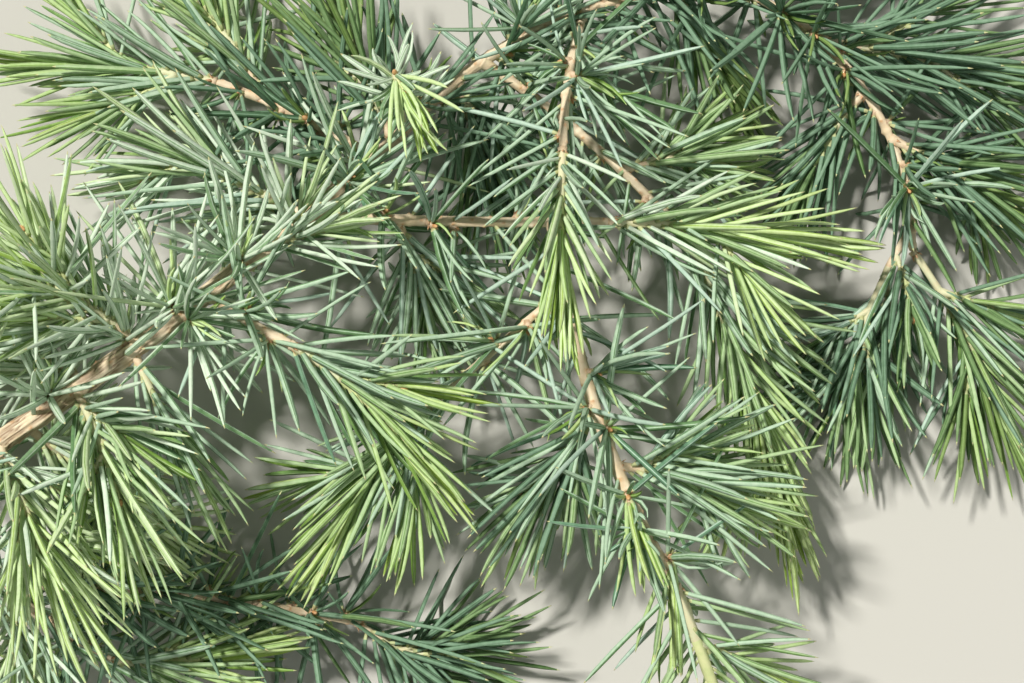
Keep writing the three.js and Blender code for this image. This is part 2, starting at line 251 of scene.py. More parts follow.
# The mottle that bark, shoots and needles all have: small clouds of a second colour over the
# first, and a fine grain that also roughens the surface.
mottle, mottle_in, mottle_out = new_group(
    "mottle",
    {"Ground": "Color", "Cloud": "Color", "Size": "Float", "Share": "Float"},
    {"Color": "Color", "Grain": "Float", "Roughness": "Float"},
)
mottle_place = mottle.nodes.new("ShaderNodeTexCoord")
mottle_clouds = mottle.nodes.new("ShaderNodeTexNoise")
mottle_clouds.inputs["Detail"].default_value = 3
mottle_amount = mottle.nodes.new("ShaderNodeMapRange")
mottle_amount.inputs["From Min"].default_value = 0.35
mottle_amount.inputs["From Max"].default_value = 0.65
mottle_mix = mottle.nodes.new("ShaderNodeMix")
mottle_mix.data_type = "RGBA"
mottle_grain = mottle.nodes.new("ShaderNodeTexNoise")
mottle_grain.inputs["Scale"].default_value = 2600
mottle_grain.inputs["Detail"].default_value = 2
mottle_rough = mottle.nodes.new("ShaderNodeMapRange")
mottle_rough.inputs["To Min"].default_value = 0.42
mottle_rough.inputs["To Max"].default_value = 0.72
for source, target in (
    (mottle_place.outputs["Object"], mottle_clouds.inputs["Vector"]),
    (mottle_place.outputs["Object"], mottle_grain.inputs["Vector"]),
    (mottle_in.outputs["Size"], mottle_clouds.inputs["Scale"]),
    (mottle_clouds.outputs["Fac"], mottle_amount.inputs["Value"]),
    (mottle_in.outputs["Share"], mottle_amount.inputs["To Max"]),
    (mottle_amount.outputs["Result"], mottle_mix.inputs["Factor"]),
    (mottle_in.outputs["Ground"], mottle_mix.inputs["A"]),
    (mottle_in.outputs["Cloud"], mottle_mix.inputs["B"]),
    (mottle_mix.outputs["Result"], mottle_out.inputs["Color"]),
    (mottle_grain.outputs["Fac"], mottle_out.inputs["Grain"]),
    (mottle_grain.outputs["Fac"], mottle_rough.inputs["Value"]),
    (mottle_rough.outputs["Result"], mottle_out.inputs["Roughness"]),
):
    mottle.links.new(source, target)


def plant_finish(name, ground, cloud, size, share, bump, gloss):
    """A material whose colour, grain and roughness come from the mottle."""
    material = bpy.data.materials.new(name)
    material.use_nodes = True
    nodes = material.node_tree.nodes
    links = material.node_tree.links
    shader = nodes["Principled BSDF"]
    shader.inputs["Specular IOR Level"].default_value = gloss
    mottled = nodes.new("ShaderNodeGroup")
    mottled.node_tree = mottle
    mottled.inputs["Ground"].default_value = tint(ground)
    mottled.inputs["Cloud"].default_value = tint(cloud)
    mottled.inputs["Size"].default_value = size
    mottled.inputs["Share"].default_value = share
    grain = nodes.new("ShaderNodeBump")
    grain.inputs["Strength"].default_value = bump
    grain.inputs["Distance"].default_value = 0.0002
    links.new(mottled.outputs["Color"], shader.inputs["Base Color"])
    links.new(mottled.outputs["Roughness"], shader.inputs["Roughness"])
    links.new(mottled.outputs["Grain"], grain.inputs["Height"])
    links.new(grain.outputs["Normal"], shader.inputs["Normal"])
    return material


def bark_finish(name, groove, ridge, cloud, peg):
    """Bark: the mottle, darkened in the grooves and tinted on the pegs by where each point lies."""
    material = plant_finish(name, ridge, cloud, size=260, share=0.85, bump=0.5, gloss=0.25)
    nodes = material.node_tree.nodes
    links = material.node_tree.links
    mottled = nodes["Group"]
    depth = nodes.new("ShaderNodeAttribute")
    depth.attribute_name = "height"
    shading = nodes.new("ShaderNodeMix")
    shading.data_type = "RGBA"
    shading.inputs["A"].default_value = tint(groove)
    pegs = nodes.new("ShaderNodeAttribute")
    pegs.attribute_name = "peg"
    topped = nodes.new("ShaderNodeMix")
    topped.data_type = "RGBA"
    topped.inputs["B"].default_value = tint(peg)
    links.new(depth.outputs["Fac"], shading.inputs["Factor"])
    links.new(mottled.outputs["Color"], shading.inputs["B"])
    links.new(pegs.outputs["Fac"], topped.inputs["Factor"])
    links.new(shading.outputs["Result"], topped.inputs["A"])
    links.new(topped.outputs["Result"], nodes["Principled BSDF"].inputs["Base Color"])
    return material


bark = bark_finish("bark", 0x8C7058, 0xEEDFC4, 0xDCC6A2, 0xC4905E)
cut_wood = bark_finish("cut_wood", 0xB98F5C, 0xE6CFA6, 0xDBBE8E, 0xB98F5C)

limbs = {}
for name, (parent, at, foot, tip, length, radii) in LIMBS.items():
    start = limbs[parent].point_at(at) if parent else np.array(CUT_END, float)
    collar = None if parent is None else "end" if at == 1 else "side"
    limbs[name] = Stem(start, foot, tip, length, radii, collar)


def bark_height(stem, s, turn, seed):
    """How far the bark stands out at the distance `s` along a limb and the angle `turn` round it,
    and how much of a peg it is there."""
    radius = stem.radius_at(s / stem.length)
    height = np.zeros_like(s)
    pegs = np.zeros_like(s)
    for k in range(int(stem.length / CUSHION["apart"])):
        end = (k + 0.5) * CUSHION["apart"]
        across = (turn - k * GOLDEN_ANGLE + seed + np.pi) % (2 * np.pi) - np.pi
        back = (end - s) / CUSHION["long"]
        ridge = CUSHION["high"] * np.exp(-((across * radius / CUSHION["wide"]) ** 2))
        height += ridge * np.clip(1 - back, 0, 1) * (back > 0)
        peg = np.exp(-((across * radius / CUSHION["wide"]) ** 2))
        pegs += peg * np.exp(-(((s - end) / CUSHION["peg_long"]) ** 2))
    height += CUSHION["peg"] * pegs
    from_scar = (s - SCARS["first"] - seed) % SCARS["apart"] - SCARS["apart"] / 2
    height += SCARS["high"] * np.exp(-((from_scar / SCARS["long"]) ** 2))
    age = np.clip((radius - YOUNG_BARK) / TO_OLD_BARK, 0, 1)
    level = np.cos(turn) * radius * PLATES["around"] + seed * NEXT_PLATES
    upright = np.sin(turn) * radius * PLATES["around"]
    places = np.stack([level, upright, s * PLATES["along"]], -1).reshape(-1, 3)
    rough = np.array([noise.noise(Vector(place)) for place in places]).reshape(s.shape)
    cracks = np.exp(-((rough / PLATES["crack"]) ** 2))
    plates = rough * PLATES["rough"] - cracks * PLATES["deep"]
    return height * (1 - PLATES["worn"] * age) + age * plates, pegs


def limb_piece(name, stem, seed, cut):
    """A limb's skin, with a collar at its foot, or with a sawn foot."""
    sides = max(LIMB_MESH["least_sides"], round(2 * np.pi * stem.radii[0] / LIMB_MESH["side_wide"]))
    count = round(stem.length / LIMB_MESH["ring_apart"])
    s = np.linspace(0, stem.length, count + 1)
    girth = stem.swell_at(s)
    girth[-1] = LIMB_MESH["end"]
    if cut:
        s = np.concatenate([np.zeros(len(CUT_RINGS)), s])
        girth = np.concatenate([CUT_RINGS, girth])
    s_grid, turn_grid = np.meshgrid(s, angles_round(sides), indexing="ij")
    t = s / stem.length
    height, pegs = bark_height(stem, s_grid, turn_grid, seed)
    thick = OWN_BARK_THICK.get(name, BARK_THICK)
    out = girth[:, None] * (stem.radius_at(t)[:, None] + thick + height)
    rings = stem.rings(t, turn_grid, out)
    kinds = np.zeros((1, len(s) - 1, sides), int)
    shade = np.clip(BARK_SHADE[0] + height * BARK_SHADE[1], 0, 1)
    if cut:
        wood = len(CUT_RINGS)
        is_groove = np.arange(wood) % 2
        kinds[:, :wood] = 1
        rings[:wood] += stem.way_at(0) * (CUT_RING["deep"] * is_groove)[:, None, None]
        shade[:wood] = 1 - is_groove[:, None] * CUT_RING["dark"]
        shade[0] = 0
        pegs[:wood] = 0
    piece = tubes_piece(f"{name}_bark", rings[None], kinds, [bark, cut_wood], foot_kind=int(cut))
    for label, values in (("height", shade), ("peg", np.clip(pegs, 0, 1))):
        attribute = piece.data.attributes.new(label, "FLOAT", "POINT")
        attribute.data.foreach_set("value", values.ravel())
    piece.data.shade_smooth()
    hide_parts(name)


for number, (name, stem) in enumerate(limbs.items()):
    limb_piece(name, stem, number * NEXT_PATTERN, cut=number == 0)


# Leafy shoots: the sprays grow on from the limbs by a seeded rule, with side twigs that leave them
# left and right in turn where they have room. Fawn at the foot, they go from grey-green to the
# yellow-green of this year's growth at the tip, and are ribbed by the needles' cushions.

# What grows on each kind of shoot: its radii, the share of its foot that is bare, how far apart its
# needles leave it, and their lengths and splay in degrees, at its foot and at its tip.
SPRAY = {"radii": (1.3, 0.8), "bare": 0.1, "apart": 0.85, "needle": (44, 36), "splay": (58, 16)}
TWIG = {"radii": (1.0, 0.6), "bare": 0.14, "apart": 1.0, "needle": (40, 31), "splay": (56, 18)}
TWIGLET = {"radii": (0.8, 0.5), "bare": 0.1, "apart": 0.75, "needle": (34, 25), "splay": (56, 20)}
NEW_SPRAY = {**SPRAY, "bare": 0.03, "needle": (34, 33), "splay": (42, 8)}
NEW_TWIG = {**TWIG, "needle": (33, 29), "splay": (40, 9)}
# What a few sprays and spurs have their own way: shorter, sparser or flatter needles, a thicker stem,
# a foot that is bare for longer, needles that part along the shoot's top, or none along the limb.
OWN_WAYS = {
    "spray_drop_tip": {"needle": (27, 30), "splay": (54, 4), "apart": 0.75},
    "spray_fore_mid": {"splay": (42, 12), "apart": 1.1},
    "spray_front_tip": {"needle": (40, 32), "splay": (64, 24), "parted": 0.85, "radii": (1.95, 1.55)},
    "spray_hanging_left": {"bare": 0.5},
    "spray_hanging_tip": {"bare": 0.25},
    "spray_under_fork": {"splay": (44, 12), "apart": 1.5},
    "spur_across_1": {"needle": (38, 28), "beside": 0.6},
    "spur_front_2": {"needle": (27, 19)},
}
WITHOUT_TWIGS = ("spray_drop_tip", "spray_fore_mid")
# How much thicker a limb's end spray starts than the limb ends.
END_FOOT_SWELL = 1.25
# Spurs are set out here too, since they and the shoots share out the room. Their needles are old
# all along, and so are those of the shoot that points up.
OLD_AGES = (0, 0.8)
SPUR = {
    "radii": (1.4, 1.15),
    "bare": 0.62,
    "apart": 0.085,
    "needle": (42, 32),
    "splay": (84, 20),
    "age": OLD_AGES,
    "rosette": True,
}
SPUR_GROWTH = {"reach": 3.6, "forward": 0.5, "vigour": 1.8}
# How side twigs grow: below and above are the first one's and the last one's distance from the
# shoot's ends, as shares of the distance from one to the next.
TWIG_GROWTH = {
    "least": 30,
    "every": 16,
    "below": 0.8,
    "above": 1.1,
    "shares": (0.62, 0.34),
    "longest": 50,
    "spread": (36, 56),
    "rise": (-20, 24),
    "forward": 16,
    "droop": 8,
    "uneven": (0.85, 1.15),
    "room": 4,
}
# Where along a twig it is tested for room, and how high above the floor its tip has to be.
TWIG_TESTS = np.array([0.5, 0.75, 1])
LEAST_HEIGHT = 1.2

# Each spray's limb and its place there, heading and pitch at its foot and its tip, length, vigour.
SPRAYS = {
    "spray_across_tip": ("across_bough", 1, (-2, -3), (-8, -6), 52, 1.7),
    "spray_front_tip": ("front_bough", 1, (-67, -4), (-71, -20), 45, 1.3),
    "spray_front_right": ("front_bough", 0.66, (-4, -6), (-20, -18), 32, 1.2),
    "spray_front_left": ("front_bough", 0.52, (-134, -24), (-120, -24), 32, 1.2),
    "spray_inner_tip": ("inner_bough", 1, (-138, 0), (-120, -8), 48, 1.2),
    "spray_drop_tip": ("drop_bough", 1, (-94, 26), (-87, 12), 39, 1.5),
    "spray_far_tip": ("far_bough", 1, (-66, -2), (-76, -8), 84, 1.3),
    "spray_far_side": ("far_bough", 0.62, (18, -16), (-12, -8), 36, 1),
    "spray_fan_tip": ("fan_bough", 1, (-30, 12), (-52, -4), 44, 1.5),
    "spray_back_tip": ("back_bough", 1, (166, -8), (180, -4), 48, 1.3),
    "spray_back_high": ("back_bough", 0.72, (112, -8), (142, -14), 42, 1),
    "spray_back_top": ("main_limb", 0.99, (108, 12), (120, -18), 44, 1),
    "spray_low_tip": ("low_bough", 1, (-10, -12), (16, -2), 38, 1),
    "spray_low_side": ("low_bough", 0.55, (-98, -14), (-78, -10), 30, 1),
    "spray_left_high": ("main_limb", 0.46, (130, 34), (170, 34), 48, 1.2),
    "spray_left_low": ("main_limb", 0.36, (152, -36), (182, -24), 54, 1),
    "spray_upper_left": ("main_limb", 0.8, (152, -10), (158, -10), 50, 1.2),
    "spray_under_left": ("main_limb", 0.16, (128, -40), (150, -10), 46, 1),
    "spray_crotch": ("main_limb", 0.72, (20, 36), (6, 36), 27, 1),
    "spray_fore_mid": ("main_limb", 0.34, (-50, 58), (-74, 0), 43, 1),
    "spray_fore_left": ("main_limb", 0.19, (-56, 48), (-70, -8), 46, 1),
    "spray_under_fork": ("main_limb", 0.45, (-66, 14), (-60, -22), 34, 1),
    "spray_hanging_left": ("hanging_limb", 0.93, (-122, -6), (-96, -12), 62, 1),
    "spray_hanging_tip": ("hanging_limb", 1, (-54, 0), (-68, -4), 56, 1),
    "spray_right_mid": ("hanging_limb", 0.5, (-132, -10), (-112, -4), 36, 1),
    "spray_right_top": ("hanging_limb", 0.3, (-6, -12), (-14, -4), 60, 1),
    "spray_right_edge": ("hanging_limb", 0.66, (-26, 10), (-34, -6), 40, 1),
    "spray_top_fan": ("leader_limb", 0.85, (-66, -24), (-50, -20), 34, 1),
    "spray_top_end": ("leader_limb", 0.95, (34, -10), (14, -10), 34, 1),
    "spray_top_shade": ("leader_limb", 0.22, (-72, -34), (-66, -20), 36, 1),
    "spray_upright": ("leader_limb", 0.03, (95, 72), (95, 66), 38, 1),
    "spray_floor_mid": ("floor_bough", 1, (-34, -8), (-42, 4), 42, 1),
    "spray_floor_left": ("main_limb", 0.24, (-46, -48), (-58, -10), 56, 1),
    "spray_under_across": ("across_bough", 0.3, (-66, -38), (-80, -18), 40, 1),
}

# Each spur's limb, its place there and its roll round the limb, with 0 straight up.
SPURS = {
    "spur_main_1": ("main_limb", 0.1, 40),
    "spur_main_2": ("main_limb", 0.29, -50),
    "spur_main_3": ("main_limb", 0.54, 50),
    "spur_main_4": ("main_limb", 0.66, -30),
    "spur_main_5": ("main_limb", 0.88, 10),
    "spur_leader_1": ("leader_limb", 0.42, -60),
    "spur_leader_2": ("leader_limb", 0.8, -20),
    "spur_hanging_1": ("hanging_limb", 0.14, 20),
    "spur_hanging_2": ("hanging_limb", 0.8, 0),
    "spur_across_1": ("across_bough", 0.4, 20),
    "spur_front_1": ("front_bough", 0.4, -60),
    "spur_front_2": ("front_bough", 0.82, 40),
    "spur_drop_1": ("drop_bough", 0.5, -70),
    "spur_low_1": ("low_bough", 0.4, 60),
}


def numbers(seed):
    """A seeded source of numbers from 0 to 1, the same one as in the solid model."""
    word = 0xFFFFFFFF
    state = seed
    while True:
        state = (state + 0x6D2B79F5) & word
        mixed = (state ^ state >> 15) * (state | 1) & word
        mixed ^= mixed + ((mixed ^ mixed >> 7) * (mixed | 61) & word) & word
        yield (mixed ^ mixed >> 14) / (word + 1)


def between(ends, share):
    return ends[0] + (ends[1] - ends[0]) * share


masses = []


def is_young(name):
    """Whether a spray ends in this year's growth, as its name tells."""
    return name.endswith(("_tip", "_fan"))


def add_mass(name, stem, kind, vigour, bears_twigs=False):
    masses.append(
        {
            "name": name,
            "stems": [(stem, kind)],
            "vigour": vigour,
            "bears_twigs": bears_twigs,
            "random": numbers(len(masses) + 1),
        }
    )


def spur_stem(limb, at, roll, reach):
    """A short knob that leans forward from its limb, and keeps the limb's direction there."""
    way = limb.way_at(at)
    across, over = square_to(way)
    out = over * math.cos(math.radians(roll)) + across * math.sin(math.radians(roll))
    out = unit(out + way * SPUR_GROWTH["forward"])
    angles = (math.degrees(math.atan2(out[1], out[0])), math.degrees(math.asin(out[2])))
    knob = Stem(limb.point_at(at), angles, angles, limb.radius_at(at) + reach, SPUR["radii"])
    knob.limb_way = way
    return knob


for name, (on, at, foot, tip, length, vigour) in SPRAYS.items():
    ends = at == 1
    own = OWN_WAYS.get(name, {})
    foot_radius = limbs[on].radii[1] * END_FOOT_SWELL if ends else SPRAY["radii"][0]
    radii = own.get("radii", (foot_radius, SPRAY["radii"][1]))
    stem = Stem(limbs[on].point_at(at), foot, tip, length, radii, "end" if ends else "side")
    kind = {**(NEW_SPRAY if is_young(name) else SPRAY), **own}
    bears_twigs = length >= TWIG_GROWTH["least"] and name not in WITHOUT_TWIGS
    add_mass(name, stem, kind, vigour, bears_twigs)
for name, (on, at, roll) in SPURS.items():
    stem = spur_stem(limbs[on], at, roll, SPUR_GROWTH["reach"])
    add_mass(name, stem, {**SPUR, **OWN_WAYS.get(name, {})}, SPUR_GROWTH["vigour"])


def distances(points, starts, ends):
    """From each point to each straight piece."""
    along = ends - starts
    share = np.einsum("psk,sk->ps", points[:, None] - starts, along)
    share /= np.einsum("sk,sk->s", along, along)
    foot = starts + np.clip(share, 0, 1)[..., None] * along
    return np.linalg.norm(points[:, None] - foot, axis=-1)


def clear_of_wood(points, room):
    clear = np.ones(len(points), bool)
    for limb in limbs.values():
        nearest = distances(points, limb.points[:-1], limb.points[1:]).min(1)
        clear &= nearest > limb.radii[0] + room
    return clear


def in_own_space(mass, points, room, leeway=0):
    """Whether points lie nearer to the mass's own stems than to any other's, by their vigour."""
    own = np.inf
    other = np.inf
    for neighbour in masses:
        starts = np.vstack([stem.points[:-1] for stem, _ in neighbour["stems"]])
        ends = np.vstack([stem.points[1:] for stem, _ in neighbour["stems"]])
        nearest = distances(points, starts, ends).min(1)
        if neighbour is mass:
            own = (nearest + room) / neighbour["vigour"]
        else:
            other = np.minimum(other, (nearest - room) / neighbour["vigour"])
    return other + leeway > own


def add_side_shoot(mass, number, at, spread, rise, share, kind, room, leeway=0):
    """Adds a side shoot to a mass's main one, if it has room there. They go left and right in turn."""
    main, _ = mass["stems"][0]
    side = -1 if number % 2 else 1
    heading, pitch = main.angles_at(at)
    heading += side * spread
    pitch += rise
    tip = (heading - side * TWIG_GROWTH["forward"], pitch - TWIG_GROWTH["droop"])
    length = share * min(main.length, TWIG_GROWTH["longest"])
    shoot = Stem(main.point_at(at), (heading, pitch), tip, length, kind["radii"])
    places = shoot.point_at(TWIG_TESTS)
    free = clear_of_wood(places, room) & in_own_space(mass, places, room, leeway)
    if free.all() and places[-1, 2] > LEAST_HEIGHT:
        mass["stems"].append((shoot, kind))


def add_twigs(mass):
    """Side twigs, by the same rule and numbers as in the solid model."""
    growth = TWIG_GROWTH
    random = mass["random"]
    kind = NEW_TWIG if is_young(mass["name"]) else TWIG
    count = int(mass["stems"][0][0].length / growth["every"]) - 1
    for i in range(count):
        at = (i + growth["below"]) / (count - 1 + growth["below"] + growth["above"])
        spread = between(growth["spread"], next(random))
        rise = between(growth["rise"], next(random))
        share = between(growth["shares"], at) * between(growth["uneven"], next(random))
        add_side_shoot(mass, i, at, spread, rise, share, kind, growth["room"])


for mass in masses:
    if mass["bears_twigs"]:
        add_twigs(mass)


# Finer side shoots: thin twigs a centimetre or two long, of the same wood as the shoots they grow out
# of. They fill a spray's space between its twigs, and the solid model leaves them out. The shoot that
# points up has short open needles instead, and a tuft of this year's nods from its top.
TWIGLETS = {
    "every": 15,
    "span": (0.12, 0.9),
    "shares": (0.5, 0.3),
    "uneven": (0.85, 1.15),
    "spread": (28, 60),
    "rise": (-42, 24),
    "room": 2,
    "leeway": 4,
}
TWIGLET_SEED = 500
# Where each of a row of shoots or spurs stands, within its own part of the row.
IN_ITS_PART = (0.2, 0.8)
WITHOUT_TWIGLETS = (
    "spray_right_top",
    "spray_top_end",
    "spray_right_mid",
    "spray_back_top",
    "spray_under_fork",
)
OPEN_TUFT = {
    "bare": 0.45,
    "apart": 0.85,
    "needle": (22, 15),
    "splay": (88, 48),
    "stout": 1.15,
    "age": OLD_AGES,
}
NEW_TUFT = {"bare": 0.05, "apart": 0.46, "needle": (25, 21), "splay": (40, 10), "age": (3.2, 4.4)}
NEW_TUFT_STEM = {"foot": (-60, 36), "tip": (-66, 16), "length": 7, "radii": (0.8, 0.5)}
NEW_TUFT_AT = 0.96


def add_twiglets(mass, random):
    growth = TWIGLETS
    count = int(mass["stems"][0][0].length / growth["every"])
    for i in range(count):
        at = between(growth["span"], (i + random.uniform(*IN_ITS_PART)) / count)
        spread = random.uniform(*growth["spread"])
        rise = random.uniform(*growth["rise"])
        share = between(growth["shares"], at) * random.uniform(*growth["uneven"])
        add_side_shoot(mass, i, at, spread, rise, share, TWIGLET, growth["room"], growth["leeway"])


for number, mass in enumerate(masses):
    name = mass["name"]
    if name == "spray_upright":
        upright, _ = mass["stems"][0]
        nodding = Stem(upright.point_at(NEW_TUFT_AT), **NEW_TUFT_STEM)
        mass["stems"] = [(upright, OPEN_TUFT), (nodding, NEW_TUFT)]
    elif name in SPRAYS and not is_young(name) and name not in WITHOUT_TWIGLETS:
        add_twiglets(mass, np.random.default_rng(TWIGLET_SEED + number))

# The skins of all the shoots, from the stoutest to the finest.
SHOOT_MESH = {"sides": 10, "ring_apart": 1.2, "least_rings": 6}
SHOOT_RIBS = {"count": 5, "high": 0.11, "twist": 0.09}
# Where along a shoot its tip starts to close, and how fast.
SHOOT_CLOSES = (1.02, 12)
shoot_grain = {"size": 420, "share": 0.8}
shoot_tan = plant_finish("shoot_tan", 0xE4D4B8, 0xD0B492, **shoot_grain, bump=0.4, gloss=0.3)
shoot_grey = plant_finish("shoot_grey", 0xD0D3AE, 0xD6CBA6, **shoot_grain, bump=0.4, gloss=0.3)
shoot_green = plant_finish("shoot_green", 0xC6D094, 0xD8DAA6, **shoot_grain, bump=0.3, gloss=0.35)
# Where a shoot turns from tan to grey and to green, which comes sooner on a twig and on a new shoot.
SHOOT_AGES = (0.22, 0.6)
TWIG_SOONER = 0.25
NEW_SOONER = 0.2


def shoot_rings(stem):
    """A ribbed skin that widens at its foot and closes at its tip."""
    count = max(SHOOT_MESH["least_rings"], round(stem.length / SHOOT_MESH["ring_apart"]))
    t = np.linspace(0, 1, count + 1)
    s = t * stem.length
    turn = angles_round(SHOOT_MESH["sides"])
    twisted = SHOOT_RIBS["count"] * (turn + s[:, None] * SHOOT_RIBS["twist"])
    ribs = 1 + SHOOT_RIBS["high"] * np.cos(twisted)
    closing = np.clip((SHOOT_CLOSES[0] - t) * SHOOT_CLOSES[1], 0, 1)
    girth = stem.radius_at(t) * stem.swell_at(s) * closing
    return stem.rings(t, turn, girth[:, None] * ribs)


def joined_tubes(name, tubes, finishes):
    """One piece from tubes of different lengths. Each comes with its materials' numbers."""
    points, faces, kinds = [], [], []
    start = 0
    for rings, tube_kinds in tubes:
        own, quads, feet, tips = skin(rings)
        shape = quads.shape[:-1]
        tube_kinds = np.broadcast_to(tube_kinds, shape)
        points.append(own)
        faces += [quads.reshape(-1, 4) + start, feet + start, tips + start]
        kinds += [tube_kinds.ravel(), tube_kinds[:, 0, 0], tube_kinds[:, -1, 0]]
        start += len(own)
    return add_piece(name, np.vstack(points), faces, kinds, finishes)


sprays = [mass for mass in masses if mass["name"] in SPRAYS]
for young, name in ((False, "shoots"), (True, "new_shoots")):
    grown = [mass for mass in sprays if is_young(mass["name"]) == young]
    tubes = []
    for mass in grown:
        for order, (stem, _) in enumerate(mass["stems"]):
            rings = shoot_rings(stem)
            t = np.linspace(0, 1, len(rings) - 1)
            age = np.digitize(t + (TWIG_SOONER if order else 0) + NEW_SOONER * young, SHOOT_AGES)
            tubes.append((rings[None], age[None, :, None]))
    piece = joined_tubes(name, tubes, [shoot_tan, shoot_grey, shoot_green])
    piece.data.shade_smooth()
    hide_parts(*[mass["name"] for mass in grown])


# Spurs: knobs a few millimetres long that bear a rosette of needles each year. Rings of old bud
# scales go round them, and papery orange scales stand at the top. Small ones sit all along the limbs.

# How small spurs stand along a limb. They leave its top bare, for so many degrees to each side, and
# each one's roll round the limb strays by a part of a radian.
SMALL_SPURS = {
    "apart": 8,
    "span": (0.03, 0.97),
    "bare_top": 50,
    "roll": (-0.3, 0.3),
    "reach": (1.3, 2.4),
    "clear": 4,
    "vigour": (0.5, 0.8),
    "seed": 100,
}
# Limbs whose small spurs stand closer or further apart, and leave more or less of the top bare.
OWN_SPURS = {
    "across_bough": {"apart": 15, "bare_top": 60},
    "front_bough": {"apart": 30, "bare_top": 100},
    "back_bough": {"apart": 4.5, "bare_top": 0},
    "floor_bough": {"apart": 5, "bare_top": 0},
    "leader_limb": {"apart": 5, "bare_top": 0},
    "hanging_limb": {"apart": 5, "bare_top": 0},
}
ROSETTE = {**SPUR, "age": (0, 1.2)}
# A limb that is left bare on top: its rosettes have no needles that would lie along it.
OWN_ROSETTES = {"across_bough": {**ROSETTE, "beside": 0.6}}
# Spurs where the photo shows them: each one's limb, place there, roll, vigour and needles' lengths.
PLACED_SPURS = (
    ("main_limb", 0.53, -55, 1.25, (48, 38)),
    ("main_limb", 0.44, -75, 1, (46, 36)),
    ("fan_bough", 0.4, -55, 0.8, (44, 34)),
    ("across_bough", 0.24, -30, 0.8, (40, 30)),
    ("front_bough", 0.485, 62, 0.8, (44, 34)),
    ("front_bough", 0.55, -30, 0.7, (46, 32)),
    ("front_bough", 0.73, 5, 0.5, (36, 22)),
    ("front_bough", 0.92, -75, 0.6, (40, 30)),
)
PLACED_REACH = 3.2
# Tufts of this year's needles that hang from such spurs: each one's limb, place there, roll, heading
# and pitch, and needles' lengths. They start just below the knob's top.
HANGING_TUFTS = (
    ("front_bough", 0.73, 5, (-78, 14), (29, 26)),
    ("front_bough", 0.92, -75, (-91, 4), (36, 30)),
)
HANGING_TUFT = {"bare": 0.05, "apart": 0.5, "splay": (20, 4), "age": (3.4, 4.4)}
HANGING_STEM = {"length": 5, "radii": (0.8, 0.5)}
HANGING_FROM = 0.9
# Every second ring of a knob stands out by "ridge", and its top swells and then closes.
KNOB = {
    "rings": 15,
    "sides": 10,
    "ridge": 0.13,
    "swell": 0.25,
    "swell_at": 0.95,
    "swell_long": 0.08,
    "end": 0.3,
}
knob_bark = plant_finish("knob_bark", 0xDCC6AA, 0xB59474, size=700, share=0.9, bump=0.7, gloss=0.25)

small_spurs = []
taken = [mass["stems"][0][0].points[0] for mass in masses]
taken += [limb.points[0] for limb in limbs.values()]
for name, at, roll, vigour, needle in PLACED_SPURS:
    knob = spur_stem(limbs[name], at, roll, PLACED_REACH)
    small_spurs.append((name, knob, vigour, {**OWN_ROSETTES.get(name, ROSETTE), "needle": needle}))
    taken.append(limbs[name].point_at(at))
for name, at, roll, way, needle in HANGING_TUFTS:
    start = spur_stem(limbs[name], at, roll, PLACED_REACH).point_at(HANGING_FROM)
    hanging = Stem(start, way, way, **HANGING_STEM)
    small_spurs.append((name, hanging, 1, {**HANGING_TUFT, "needle": needle}))
for number, (name, limb) in enumerate(limbs.items()):
    growth = {**SMALL_SPURS, **OWN_SPURS.get(name, {})}
    low, high = growth["span"]
    count = int(limb.length * (high - low) / growth["apart"])
    random = np.random.default_rng(growth["seed"] + number)
    for k in range(count):
        at = between((low, high), (k + random.uniform(*IN_ITS_PART)) / count)
        roll = math.degrees(k * GOLDEN_ANGLE + random.uniform(*growth["roll"])) % 360 - 180
        if abs(roll) < growth["bare_top"]:
            continue
        if min(np.linalg.norm(np.array(taken) - limb.point_at(at), axis=1)) < growth["clear"]:
            continue
        knob = spur_stem(limb, at, roll, random.uniform(*growth["reach"]))
        vigour = random.uniform(*growth["vigour"])
        small_spurs.append((name, knob, vigour, OWN_ROSETTES.get(name, ROSETTE)))


def knob_rings(stem):
    t = np.linspace(0, 1, KNOB["rings"])
    ringed = 1 + KNOB["ridge"] * (np.arange(KNOB["rings"]) % 2)
    ringed += KNOB["swell"] * np.exp(-(((t - KNOB["swell_at"]) / KNOB["swell_long"]) ** 2))
    girth = stem.radius_at(t) * ringed * np.where(t == 1, KNOB["end"], 1)
    return stem.rings(t, angles_round(KNOB["sides"]), girth[:, None])


knobs = [mass["stems"][0][0] for mass in masses if mass["name"] in SPURS]
knobs += [knob for _, knob, _, _ in small_spurs]
piece = tubes_piece("spur_knobs", np.stack([knob_rings(knob) for knob in knobs]), 0, [knob_bark])
piece.data.shade_smooth()
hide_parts(*SPURS)


# Bud scales: thin papery leaves, orange-brown and pointed, that covered last year's buds. They stay in
# a ring round the top of each knob and at the foot of each shoot, and stand open.
SCALES = {
    "count": 7,
    "long": (1.3, 2.3),
    "wide": 0.5,
    "thick": 0.09,
    "open": (14, 44),
    "root": 0.92,
    "seed": 7,
}
SCALE_PLACES = np.array([0, 0.45, 1])
SCALE_GIRTH = np.array([0.8, 1, 0.1])
SCALE_SECTION = np.array([(1, 0), (0, 1), (-1, 0), (0, -1)])
# Where they stand, as a share of a knob and in millimetres along a shoot.
SCALE_ON_KNOB = 0.66
SCALE_ON_SHOOT = 1.2
papery = plant_finish("scale_papery", 0xC8946C, 0xDDB892, size=900, share=0.9, bump=0.3, gloss=0.3)


